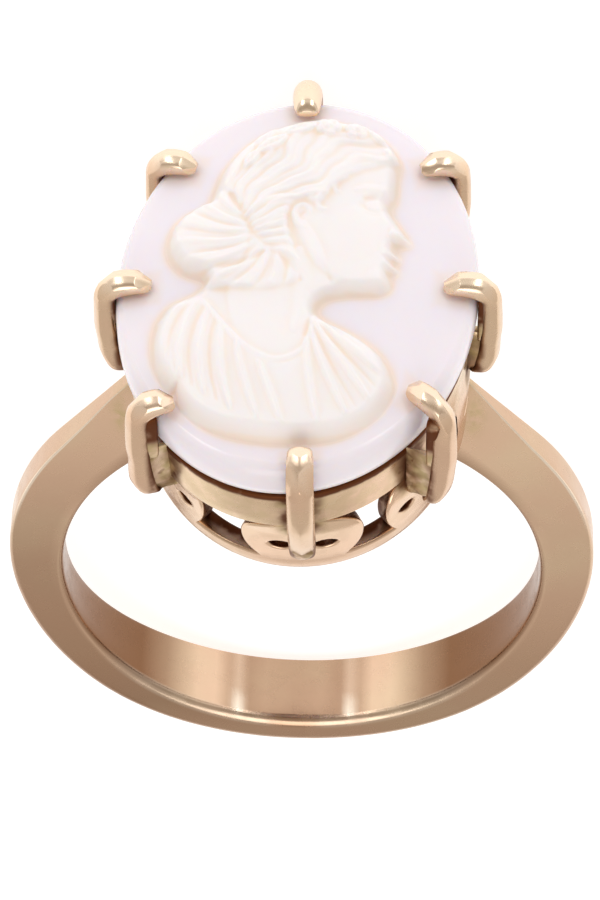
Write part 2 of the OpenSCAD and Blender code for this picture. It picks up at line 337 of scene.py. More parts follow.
def bandWearAndPaintedLight(v):
    # How dirty and soldered the band is at one of its corners, and its painted shade and painted highlights
    x, y, z = v.co
    outwards = v.normal.xz @ v.co.xz.normalized()
    edge = -2 * v.normal.y * outwards
    angle = abs(math.degrees(math.atan2(x, -z)) + band["paintedLightShift"])
    nearHead = smooth((z - 9.2) / 1.4) * smooth((7.2 - abs(x)) / 1.2)
    # painted shade on the outside, the front face and the inside of the band
    outside = band["outsidePaintedShade"] * smooth((outwards - 0.1) / 0.6)
    inside = smooth((band["holeRadius"] + 0.3 - math.hypot(x, z)) / 0.3)
    facing = smooth((-0.1 - v.normal.y) / 0.5)
    front = (1 - inside) * facing * readOff(band["frontRight" if x > 0 else "frontLeft"], z)
    stainOut, stainHeight = band["stain"]
    stain = facing * math.exp(-(((abs(x) - stainOut) / 0.3) ** 2) - ((z - stainHeight) / 0.6) ** 2)
    # painted highlights on the outer front ridge, the inner front edge and in two streaks inside the palm,
    # strongest near the front edge
    ridge = band["ridgeHighlight"] * smooth((edge - 0.6) / 0.35) * smooth((z - 2) / 3)
    atPalm = smooth((60 - angle) / 25) * smooth((angle - 3) / 6)
    innerEdge = band["innerEdgeHighlight"] * smooth((-edge - 0.15) / 0.5) * atPalm
    streak = 0.1 + 0.9 * math.exp(-(((y - band["highlightDepth"]) / 0.45) ** 2))
    # grime, solder, painted shade and painted highlight
    paintedShade = max(front, outside, inside * readOff(band["paintedShade"], angle))
    paintedHighlight = max(inside * readOff(band["paintedHighlight"], angle) * streak, innerEdge, ridge)
    return 0.1 * nearHead, max(0.45 * nearHead, stain), paintedShade, paintedHighlight


def makeBand(material):
    nextToLast, last = band["lastCuts"]
    angles = [*np.arange(0, nextToLast, band["step"]), nextToLast]
    left = [bandSection(a, -1) for a in reversed(angles[1:])]
    right = [bandSection(a, 1) for a in angles]
    bm = bmesh.new()
    loft(bm, [bandSection(last, -1, True)] + left + right + [bandSection(last, 1, True)])
    layers = addLayers(bm, "grimeAndShade", "solder", "paintedShade", "paintedHighlight")
    bmesh.ops.recalc_face_normals(bm, faces=bm.faces)
    bm.normal_update()
    for v in bm.verts:
        for layer, amount in zip(layers, bandWearAndPaintedLight(v)):
            v[layer] = amount
    makePiece(bm, "band", material, "ring_mount")


# The gallery: its wall is drawn flat and pierced, and then bent round the oval
gallery = {
    "bottom": 8.75,
    "top": 13.9,
    "gapBottom": 9.6,
    "gapTop": 12.15,
    "wall": 0.6,
    "edge": 0.11,
    "rimTop": 9.75,
    # height, half the width and half the length of the oval
    "halfAxes": [(8.75, 5.43, 6.73), (8.95, 5.55, 6.86), (9.2, 5.6, 6.93), (9.5, 5.61, 6.98),
                 (12.25, 5.72, 7.58), (13.9, 5.8, 7.66)],
    "middle": (5.66, 7.3),
    # a lobe's side: height in the gap, from -1 to 1, and how far it is from the claw
    "lobe": [(-1, 1.48), (-0.8, 1.66), (-0.5, 1.85), (-0.15, 1.95), (0.2, 1.96), (0.5, 1.87), (0.72, 1.66),
             (0.88, 1.32), (1, 0.85)],
    # an eye's width and height, and how high its middle is over the gap's bottom
    "eye": (0.84, 0.52, 1.05),
    # how far round the oval's top is turned, in degrees, and moved
    "turned": -6,
    "moved": (-0.1, 0.0),
    # how far before the first claw the wall is joined, and where it is cut so that it can bend
    "seam": 2.2,
    "bendEvery": 0.3,
    "bendHeights": (9.0, 9.2, 9.5, 10.2, 11, 11.8, 12.25, 13, 13.6),
}
clawAngles = [-2.4, 38.5, 92, 144, 185.1, 224.5, 273.4, 315.5]
# Before and after each claw: how wide the lobe is, and where its eye starts
lobeSizes = [(1, 1), (1, 0.72), (1.08, 1.08), (0.72, 1), (1, 1), (1, 0.7), (1.1, 1.1), (0.7, 1)]
eyeStarts = [(0.36, 0.36)] * 5 + [(0.36, 0.12), (0.34, 0.34), (0.12, 0.36)]


def ovalLength():
    a, b = gallery["middle"]
    t = np.linspace(-30, 390, 4201)
    x, y = a * np.cos(np.radians(t)), b * np.sin(np.radians(t))
    length = np.concatenate([[0], np.cumsum(np.hypot(np.diff(x), np.diff(y)))])
    return t, length


ovalTurns, ovalRun = ovalLength()


def runAt(turn):
    return float(np.interp(turn, ovalTurns, ovalRun))


def wallPoint(run, z, depth):
    # A point of the wall: how far round, how high, and how deep under its outside
    turn = math.radians(float(np.interp(run, ovalRun, ovalTurns)))
    heights, halfA, halfB = zip(*gallery["halfAxes"])
    a, b = np.interp(z, heights, halfA), np.interp(z, heights, halfB)
    out = Vector((math.cos(turn) / a, math.sin(turn) / b, 0)).normalized()
    return Vector((a * math.cos(turn), b * math.sin(turn), z)) - out * depth


def turnedOval(points, turn, halfAxes):
    # Moves points in or out, as if the oval's long axis were turned by some degrees
    a, b = halfAxes
    around = np.arctan2(points[:, 1], points[:, 0])
    directions = (around, around - math.radians(turn))
    was, now = (a * b / np.hypot(b * np.cos(t), a * np.sin(t)) for t in directions)
    return points * (now / was)[:, None]


def flatOutlines(start, length):
    # The wall's edge, the gaps between the claws and the eyes in the lobes, all drawn flat
    low, high = gallery["gapBottom"], gallery["gapTop"]
    first, last, bottom, top = start - 1, start + length + 1, gallery["bottom"], gallery["top"]
    outlines = [[(first, bottom), (last, bottom), (last, top), (first, top)]]
    lobe = curveThrough(gallery["lobe"], 4)
    mid, half = (low + high) / 2, (high - low) / 2
    wide, tall, over = gallery["eye"]
    turns = [2 * math.pi * k / 24 for k in range(24)]
    for i, here in enumerate(clawAngles):
        a, b = runAt(here), runAt((clawAngles[1:] + [clawAngles[0] + 360])[i])
        after, before = lobeSizes[i][1], lobeSizes[(i + 1) % 8][0]
        rising = [(a + w * after, mid + half * t) for t, w in lobe]
        falling = [(b - w * before, mid + half * t) for t, w in reversed(lobe)]
        outlines.append(rising + falling)
        for side, size, eyeStart in zip((-1, 1), lobeSizes[i], eyeStarts[i]):
            eyeWide = wide * min(size, 1) ** 0.5
            middle = a + side * (eyeStart + eyeWide / 2)
            eye = [(math.cos(t), math.sin(t) * abs(math.sin(t)) ** 0.5) for t in turns]
            outlines.append([(middle + eyeWide / 2 * c, low + over + tall / 2 * s) for c, s in eye])
    return outlines


def flatWall(start, length):
    # A filled curve with a rounded edge, made a mesh
    flat = bpy.data.curves.new("wall", "CURVE")
    flat.dimensions = "2D"
    flat.fill_mode = "BOTH"
    flat.extrude = gallery["wall"] / 2 - gallery["edge"]
    flat.bevel_depth = gallery["edge"]
    flat.offset = -gallery["edge"]
    flat.bevel_resolution = 3
    for outline in flatOutlines(start, length):
        spline = flat.splines.new("POLY")
        spline.points.add(len(outline) - 1)
        spline.points.foreach_set("co", [c for x, y in outline for c in (x, y, 0, 1)])
        spline.use_cyclic_u = True
    holder = bpy.data.objects.new("wall", flat)
    bm = bmesh.new()
    bm.from_mesh(holder.to_mesh())
    holder.to_mesh_clear()
    bpy.data.objects.remove(holder)
    bmesh.ops.remove_doubles(bm, verts=bm.verts, dist=0.0005)
    return bm


def makeGallery(material):
    length = runAt(360) - runAt(0)
    start = runAt(clawAngles[0]) - gallery["seam"]
    bm = flatWall(start, length)
    for run, outwards in ((start, -1), (start + length, 1)):
        slicePlane(bm, (run, 0, 0), (outwards, 0, 0), True)
    for run in np.arange(start, start + length, gallery["bendEvery"])[1:]:
        slicePlane(bm, (run, 0, 0), (1, 0, 0))
    for z in gallery["bendHeights"]:
        slicePlane(bm, (0, z, 0), (0, 1, 0))
    grimeAndShade, solder, paintedShade = addLayers(bm, "grimeAndShade", "solder", "paintedShade")
    middles = [runAt(t) for t in clawAngles] + [runAt(clawAngles[0] + 360)]
    eyeHeight = gallery["gapBottom"] + gallery["eye"][2]
    for v in bm.verts:
        run, z, depth = v.co.x, v.co.y, gallery["wall"] / 2 - v.co.z
        beside = min(abs(run - m) for m in middles)
        atEye = 0.1 < beside < 1.3 and abs(z - eyeHeight) < 0.36
        inside = smooth(depth / 0.1 if atEye else (depth - 0.07) / 0.2)
        nearClaw = smooth((0.95 - beside) / 0.4) * smooth((z - 11.2) / 0.8)
        # painted shade inside the eyes and the gaps, a painted shadow line along the top under the stone, and
        # darker beside the claws
        v[grimeAndShade] = max(inside * 1.4, 1.8 * smooth((z - 13.7) / 0.12), 0.85 * nearClaw)
        v[solder] = max(0.8 * nearClaw, 0.32 * smooth((z - 12.1) / 0.2))
        # painted shade over the whole wall, more on the lower rim
        v[paintedShade] = 0.12 + 0.14 * smooth((9.9 - z) / 0.4)
        if z < gallery["rimTop"]:  # the lower rim is thicker than the wall
            depth *= 1 + 0.25 * smooth((gallery["rimTop"] - z) / 0.2)
        v.co = wallPoint(run, z, depth)
        share = smooth((z - 11.4) / 1.0)  # the top is turned and moved, and the rim isn't
        turned = turnedOval(np.array([v.co.xy]), gallery["turned"] * share, gallery["middle"])[0]
        v.co.xy = turned + np.array(gallery["moved"]) * share
    bmesh.ops.remove_doubles(bm, verts=bm.verts, dist=0.004)
    makePiece(bm, "gallery", material, "ring_mount", onBand, 40)


# The stone's place, for the claws that hold it and for the cameo itself
stone = {"halfAxes": (6, 8), "seat": 13.96, "edgeHeight": 1.8}

# A claw: its place round the stone and the way it folds over, in degrees, how much longer
# its foot is, how far the foot is drawn in, its reach over the stone, how far out it was set,
# how thick and how wide it is, how it was filed, and how far its tip swings, in degrees
clawRow = namedtuple("clawRow", "place aim longer drawn reach outSet thickness wider filing swing")
claws = {
    "width": 0.9,
    "set": [
        clawRow(-2.4, 1.5, -0.6, -0.2, 1.08, -0.08, 0.86, 1, "soft", 0),
        clawRow(38.5, 16.5, 0, 0, 0.93, -0.02, 0.82, 1, "soft", 0),
        clawRow(92, 91.5, 0.95, 0.5, 0.95, 0, 1, 1.15, "round", 0),
        clawRow(144, 168.5, 0, 0, 1, -0.1, 0.82, 1, "soft", 0),
        clawRow(185.1, 181.5, -0.58, -0.15, 1.06, 0.15, 0.9, 1, "soft", 0),
        clawRow(224.5, 193.5, -0.4, -0.25, 0.8, 0.3, 0.86, 1, "soft", 3),
        clawRow(273.4, 271.5, 0.75, 0.5, 0.55, 0, 1, 1, "ridged", 0),
        clawRow(315.5, 344.5, -0.3, -0.1, 0.98, 0.14, 0.9, 1, "soft", 20),
    ],
    # the inner and the outer side of each cut (out from the stone's edge, up from its seat),
    # its share of the width, and how much it belongs to the foot
    "cuts": [
        (-0.3, -2.62, 0.0, -2.69, 0.46, 1), (-0.24, -2.58, 0.2, -2.62, 0.76, 1),
        (-0.15, -2.42, 0.38, -2.44, 0.92, 1), (-0.09, -2.1, 0.56, -2.06, 0.98, 1),
        (-0.02, -1.35, 0.75, -1.35, 1, 0.45), (0.04, -0.5, 0.87, -0.5, 1, 0),
        (0.06, -0.05, 0.92, 0, 1, 0), (0.08, 0.4, 0.92, 0.45, 1, 0),
        (0.08, 1.0, 0.9, 0.95, 1, 0), (0.08, 1.62, 0.84, 1.7, 1, 0),
        (-0.02, 1.86, 0.62, 2.18, 1, 0), (-0.22, 1.97, 0.26, 2.5, 0.99, 0),
        (-0.5, 2.05, -0.22, 2.64, 0.96, 0), (-0.8, 2.1, -0.68, 2.62, 0.9, 0),
        (-1.02, 2.14, -0.96, 2.5, 0.76, 0), (-1.12, 2.18, -1.1, 2.36, 0.5, 0),
    ],
    # half of a cut's outline: from the inner side, 0, to the outer side, 1, and the half width
    "outline": [(1, 0), (0.99, 0.1), (0.95, 0.3), (0.89, 0.56), (0.82, 0.78), (0.73, 0.91), (0.58, 0.99),
                (0.4, 1), (0.2, 1), (0.06, 0.93), (0, 0.8), (0, 0.4)],
    "roundOutline": [(1, 0), (0.985, 0.2), (0.93, 0.42), (0.84, 0.62), (0.7, 0.8), (0.5, 0.93), (0.3, 0.99),
                     (0.12, 0.96), (0, 0.85), (0, 0.4)],
    # facets that the file leaves, one on each side: the way it faces (out, across, up), how deep
    "filed": {
        "soft": [(0.62, 0.6, 0.5, 0.07), (-0.5, 0.3, 0.83, 0.09), (-0.6, 0.62, 0.5, 0.07)],
        "ridged": [(0.66, 0.62, 0.42, 0.15), (-0.1, 0, 1, 0.06)],
        "round": [],
    },
}


def clawSections(claw):
    swing = math.tan(math.radians(claw.swing))
    outline = claws["roundOutline" if claw.filing == "round" else "outline"]
    outline = outline + [(q, -w) for q, w in reversed(outline) if w > 0]
    sections = []
    for inS, inZ, outS, outZ, share, foot in curveThrough(claws["cuts"], 3):
        if inZ > stone["edgeHeight"]:
            inS, outS = (s * claw.reach if s < 0 else s for s in (inS, outS))
        foot = min(max(foot, 0), 1)
        lower = stone["seat"] - claw.longer * foot
        inner = Vector((inS - max(0, claw.drawn) * foot, 0, lower + inZ))
        outer = Vector((outS * (claw.thickness if outS > 0 else 1) - claw.drawn * foot, 0, lower + outZ))
        half = claws["width"] / 2 * share * claw.wider
        points = [inner.lerp(outer, q) + Vector((0, half * w, 0)) for q, w in outline]
        for point in points:
            point.y += swing * (0.8 - point.x) * smooth((point.z - stone["seat"] - 1.1) / 0.8)
        sections.append(points)
    return sections


def clawPlace(claw):
    # From the claw's own directions (out, across, up) to the ring's
    place, aim = math.radians(claw.place), math.radians(claw.aim)
    a, b = stone["halfAxes"]
    normal = math.atan2(math.sin(place) / b, math.cos(place) / a)
    standOff = claws["width"] / 2 * abs(math.tan(aim - normal)) + claw.outSet
    x, y = a * math.cos(place) + standOff * math.cos(aim), b * math.sin(place) + standOff * math.sin(aim)
    return Matrix.Translation((x, y, 0)) @ Matrix.Rotation(aim, 4, "Z")


def fileFlat(bm, facing, depth):
    # Files one flat facet on a closed form and softens its edges
    facing = facing.normalized()
    reach = max(v.co @ facing for v in bm.verts) - depth
    cut = slicePlane(bm, facing * reach, facing, True)
    rim = [e for e in cut["geom_cut"] if isinstance(e, bmesh.types.BMEdge)]
    if rim:
        bmesh.ops.contextual_create(bm, geom=rim)
        bmesh.ops.bevel(bm, geom=rim, offset=0.04, affect="EDGES", segments=2, profile=0.5, material=-1,
                        clamp_overlap=True)


def makeClaws(material):
    whole = bmesh.new()
    owners = []
    for claw in claws["set"]:
        bm = bmesh.new()
        loft(bm, clawSections(claw))
        bmesh.ops.recalc_face_normals(bm, faces=bm.faces)
        for out, across, up, depth in claws["filed"][claw.filing]:
            for side in (1, -1) if across else (1,):
                fileFlat(bm, Vector((out, side * across, up)), depth)
        bmesh.ops.transform(bm, matrix=clawPlace(claw), verts=bm.verts)
        bmesh.ops.remove_doubles(bm, verts=bm.verts, dist=0.001)
        part = bpy.data.meshes.new("claw")
        bm.to_mesh(part)
        bm.free()
        whole.from_mesh(part)
        owners += [clawPlace(claw).inverted()] * len(part.vertices)
        bpy.data.meshes.remove(part)
    grimeAndShade, paintedShade, paintedHighlight = addLayers(whole, "grimeAndShade", "paintedShade", "paintedHighlight")
    for v, toClaw in zip(whole.verts, owners):
        height = v.co.z - stone["seat"]
        inner = smooth((0.32 - (toClaw @ v.co).x) / 0.26) * smooth((1.98 - height) / 0.2)
        # darker low on the foot, and on the inner face towards the stone below the tip
        v[grimeAndShade] = max(0.3 * smooth((-1.3 - height) / 1.2), 0.85 * inner)
        # painted shade on the lower claw
        v[paintedShade] = 0.2 * smooth((2.3 - height) / 0.8)
        # painted highlight on the tips
        v[paintedHighlight] = 0.4 * smooth((height - 2.0) / 0.5)
    makePiece(whole, "claws", material, "ring_mount", onBand, 38)


# The cameo
cameo = {
    "dome": 0.6,
    "faceShare": 0.955,
    # how the stone sits in its claws: how far it is turned, in degrees, and moved
    "turned": -4,
    "moved": (-0.14, 0.0),
    "grown": 1.006,
    "grid": (250, 330),
    # share of the width, height over the seat
    "edge": [(0.966, 1.8), (0.976, 1.765), (0.985, 1.7), (0.992, 1.61), (0.9975, 1.49), (1, 1.3), (1, 0.85),
             (0.985, 0.5), (0.91, 0.0)],
    # the outline of the whole bust, from the shoulder behind, up over the hair, and down
    "outline": [
        (-4.78, -2.3), (-4.35, -1.55), (-3.6, -1.1), (-3.25, -0.68), (-3.95, -0.3), (-4.45, 0.35),
        (-4.6, 1.1), (-4.4, 1.95), (-3.9, 2.5), (-3.35, 2.85), (-3.15, 3.5), (-2.93, 4.4), (-2.4, 5.35),
        (-1.67, 6.1), (-0.8, 6.55), (0.17, 6.84), (1.2, 6.78), (2.17, 6.42), (2.8, 5.8), (3.15, 5.0),
        (3.12, 4.4), (3.1, 3.75), (3.08, 3.3), (2.92, 2.78), (3.08, 2.35), (3.4, 1.8), (3.62, 1.42),
        (3.55, 1.2), (3.22, 1.08), (3.14, 0.92), (3.3, 0.66), (3.28, 0.48), (3.12, 0.36), (3.24, 0.18),
        (3.2, -0.02), (3.02, -0.18), (3.06, -0.45), (3.0, -0.78), (2.7, -1.02), (2.2, -1.1),
        (1.5, -1.2), (0.95, -1.38), (0.68, -1.75), (0.85, -2.1), (1.5, -2.45), (2.3, -2.95),
        (2.95, -3.6), (3.3, -4.55), (3.05, -5.45), (2.44, -6.2), (1.5, -6.78), (0.3, -7.03),
        (-1.1, -7.0), (-2.44, -6.7), (-3.4, -6.1), (-4.1, -5.2), (-4.65, -4.2), (-4.85, -3.2),
    ],
}


# Solder behind each claw, where it stands off the wall, and above it, between the claw and
# the stone, more solder with a dark block on top, partly dirt and partly painted shade
solderWeb = {
    # height over the seat, half the width, and how far out it reaches
    "web": [(-2.7, 0.16, 0.1), (-2.55, 0.3, 0.26), (-2.2, 0.4, 0.36), (-1.6, 0.43, 0.4), (-1.1, 0.43, 0.42),
            (-0.7, 0.4, 0.36), (-0.4, 0.34, 0.28), (-0.2, 0.26, 0.15), (-0.08, 0.16, 0.0),
            (-0.04, 0.06, -0.2)],
    "back": -0.95,
    "atWall": 0.2,
    # height over the seat, half the width
    "dirtAndShade": [(-0.5, 0.1), (-0.35, 0.3), (0.2, 0.4), (1.1, 0.41), (1.7, 0.4), (1.82, 0.3), (1.86, 0.1)],
    "dirtAndShadeFront": 0.3,
    "fromStone": 0.02,
}


def seated(points):
    # The oval as the stone sits in its claws
    return turnedOval(points, cameo["turned"], stone["halfAxes"]) * cameo["grown"] + np.array(cameo["moved"])


def stoneEdge(claw, across):
    # How far the stone comes out towards a claw, from the claw's own place
    turns = np.radians(np.arange(0, 360, 0.5))
    a, b = stone["halfAxes"]
    outline = seated(np.stack([a * np.cos(turns), b * np.sin(turns)], axis=1))
    toClaw = clawPlace(claw).inverted()
    near = sorted((p.y, p.x) for p in (toClaw @ Vector((x, y, 0)) for x, y in outline) if p.x > -3)
    return readOff(near, across)


def webSections(claw):
    back, atWall = solderWeb["back"], solderWeb["atWall"]
    drop = claw.longer * (0.4 if claw.longer > 0 else 1)
    corners = [(c, s * (atWall + (1 - atWall) * (0.5 + 0.5 * c) ** 1.2)) for c, s in roundedSquare(40)]
    sections = []
    for z, half, front in curveThrough(solderWeb["web"], 6):
        z -= drop * smooth((-0.8 - z) / 1.2)
        middle, reach = (back + front) / 2 - 0.3 * claw.drawn, (front - back) / 2
        sections.append([(middle + reach * c, half * s, stone["seat"] + z) for c, s in corners])
    return sections


def dirtAndShadeSections(claw):
    front, seat = solderWeb["dirtAndShadeFront"], stone["seat"]
    deepest = -max(claw.outSet, 0.12) - 0.02
    sections = []
    for z, half in curveThrough(solderWeb["dirtAndShade"], 3):
        points = [(0.5 + 0.5 * c, half * s) for c, s in roundedSquare(24)]
        backs = [max(stoneEdge(claw, y) + solderWeb["fromStone"], deepest) for out, y in points]
        sections.append([(back + (front - back) * out, y, seat + z) for back, (out, y) in zip(backs, points)])
    return sections


def makeSolder(material):
    bm = bmesh.new()
    grimeAndShade, solder, paintedHighlight = addLayers(bm, "grimeAndShade", "solder", "paintedHighlight")
    for index, claw in enumerate(claws["set"]):
        before = set(bm.verts)
        loft(bm, webSections(claw))
        web = [v for v in bm.verts if v not in before]
        middle = -(0.37 + claw.outSet) / 2
        for v in web:
            low = smooth((-1.3 - (v.co.z - stone["seat"])) / 0.8)
            lumps = noise.fractal(v.co * 3.5 + Vector((index * 5, 0, 0)), 0.9, 2.1, 3)
            v.co.y += math.copysign(0.03 + 0.08 * low, v.co.y) * lumps
            # painted shade on either side of the web's middle and a painted highlight down it; darker low
            # down
            beside = 1 - math.exp(-(((v.co.x - middle) / 0.14) ** 2))
            v[grimeAndShade] = max(0.1 + 0.5 * beside, 0.6 * low, 0.3)
            v[solder] = 0.85
            v[paintedHighlight] = 0.35 * (1 - beside) * (1 - low)
        bmesh.ops.transform(bm, matrix=clawPlace(claw), verts=web)
        if claw.filing == "soft":
            before = set(bm.verts)
            loft(bm, dirtAndShadeSections(claw))
            dirtAndShade = [v for v in bm.verts if v not in before]
            for v in dirtAndShade:
                # the block is darker upwards: dirt, and painted shade in the gap under the stone
                dark = smooth((v.co.z - stone["seat"] - 0.35) / 0.5)
                v[grimeAndShade], v[solder] = 0.25 + 0.85 * dark, 0.85 - 0.65 * dark
            bmesh.ops.transform(bm, matrix=clawPlace(claw), verts=dirtAndShade)
    makePiece(bm, "solder", material, "ring_mount", onBand, 60)


def lineDistance(points, line, closed=False):
    # Each point's distance from a line, and how far along the line, 0 to 1, it is nearest
    line = np.array(line, float)
    ends = np.roll(line, -1, axis=0) if closed else line[1:]
    starts = line if closed else line[:-1]
    lengths = np.hypot(*(ends - starts).T)
    before = np.concatenate([[0], np.cumsum(lengths)[:-1]])
    best, along = np.full(len(points), 1e9), np.zeros(len(points))
    for a, b, length, run in zip(starts, ends, lengths, before):
        t = np.clip(((points - a) @ (b - a)) / max(length**2, 1e-12), 0, 1)
        d = np.hypot(*(points - a - t[:, None] * (b - a)).T)
        nearer = d < best
        best[nearer], along[nearer] = d[nearer], (run + t * length)[nearer] / lengths.sum()
    return best, along


def insideOutline(points, line):
    line = np.array(line, float)
    inside = np.zeros(len(points), bool)
    x, y = points.T
    for (ax, ay), (bx, by) in zip(line, np.roll(line, -1, axis=0)):
        crosses = (ay > y) != (by > y)
        inside ^= crosses & (x < (bx - ax) * (y - ay) / (by - ay + 1e-12) + ax)
    return inside


def signedDistance(points, outline, steps=4):
    line = curveThrough([*outline, outline[0]], steps)[:-1]
    distance, along = lineDistance(points, line, True)
    return np.where(insideOutline(points, line), distance, -distance)


def withinOval(points, middle, halves, turn):
    # Each point's place along and across a turned oval, where 1 is its outline
    c, s = math.cos(math.radians(turn)), math.sin(math.radians(turn))
    x, y = (points - np.array(middle)).T
    return (x * c + y * s) / halves[0], (y * c - x * s) / halves[1]


def lump(points, middle, halves, turn=0.0):
    # 1 in the middle of an oval, 0 on its outline
    u, v = withinOval(points, middle, halves, turn)
    return np.clip(1 - u * u - v * v, 0, 1)


def ridge(points, line, width, steps=6, taper=True):
    # A soft raised or sunk stroke along a line, thinner at its ends
    distance, along = lineDistance(points, curveThrough(line, steps))
    half = width * (np.clip(4 * along * (1 - along), 0, 1) ** 0.35 if taper else 1) + 1e-4
    return smooth(1 - distance / half)


def joined(a, b, soft):
    # The higher of two surfaces, with a soft valley between them
    h = np.clip(0.5 + 0.5 * (a - b) / soft, 0, 1)
    return b + (a - b) * h + soft * h * (1 - h)


def softStep(points, outline, width):
    # 0 outside a closed outline, 1 once it is that far inside
    return smooth(signedDistance(points, outline) / width + 0.5)


def leaf(points, middle, halves, turn):
    # A pointed leaf with its midrib sunk
    u, v = withinOval(points, middle, halves, turn)
    room = np.clip(1 - u * u, 0, 1)
    body = smooth((room - np.abs(v)) / 0.55)
    veins = 0.14 * np.cos(22 * (u - 0.5 * np.abs(v))) * body
    return body * (1 - 0.45 * smooth(1 - np.abs(v) / 0.16)) + veins * 0.5


def flower(points, middle, radius, turn=0.0):
    # Five round petals about a raised middle
    d = points - np.array(middle)
    r, around = np.hypot(*d.T) / radius, np.arctan2(d[:, 1], d[:, 0]) + math.radians(turn)
    reach = 0.74 + 0.26 * np.abs(np.cos(2.5 * around)) ** 0.6
    petals = smooth((reach - r) / 0.3)
    creases = 0.4 * smooth(1 - np.abs(np.sin(2.5 * around + math.pi / 2)) / 0.45) * smooth(r / 0.3)
    return petals * (1 - creases) * (0.75 + 0.5 * r * (1 - r)) + 0.55 * smooth((0.3 - r) / 0.14)


